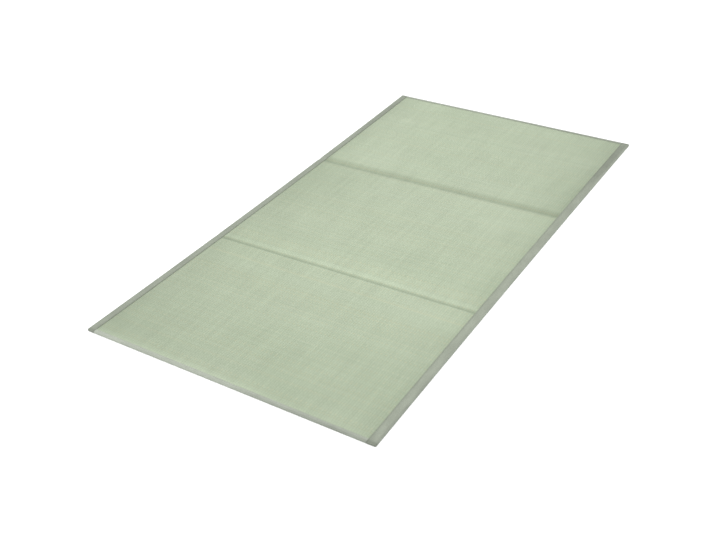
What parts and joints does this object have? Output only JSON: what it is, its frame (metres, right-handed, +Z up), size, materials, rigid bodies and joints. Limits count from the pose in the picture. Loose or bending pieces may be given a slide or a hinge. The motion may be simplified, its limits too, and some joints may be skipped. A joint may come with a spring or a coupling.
{
  "type": "tatami mat",
  "caption": "Fold-up rush-faced floor mat lying open and flat, with fold lines across it, cloth bindings along its long edges and narrow tapes on its ends.",
  "frame": {"origin": "middle of the underside, on the floor", "axes": "+X across the width from the left long edge to the right one, +Y along the length from the near short end to the far one, +Z up from the floor"},
  "size_m": [0.9499, 1.8, 0.009],
  "materials": {
    "rush": "woven rush, pale sage green, satin stalks",
    "binding_cloth": "fine ribbed cloth, grey green, matt, sewn down with thread"
  },
  "bodies": {
    "root": {"rush_mat": "rush", "long_binding_left": "binding_cloth", "long_binding_right": "binding_cloth", "end_binding_near": "binding_cloth", "end_binding_far": "binding_cloth"}
  },
  "joints": []
}
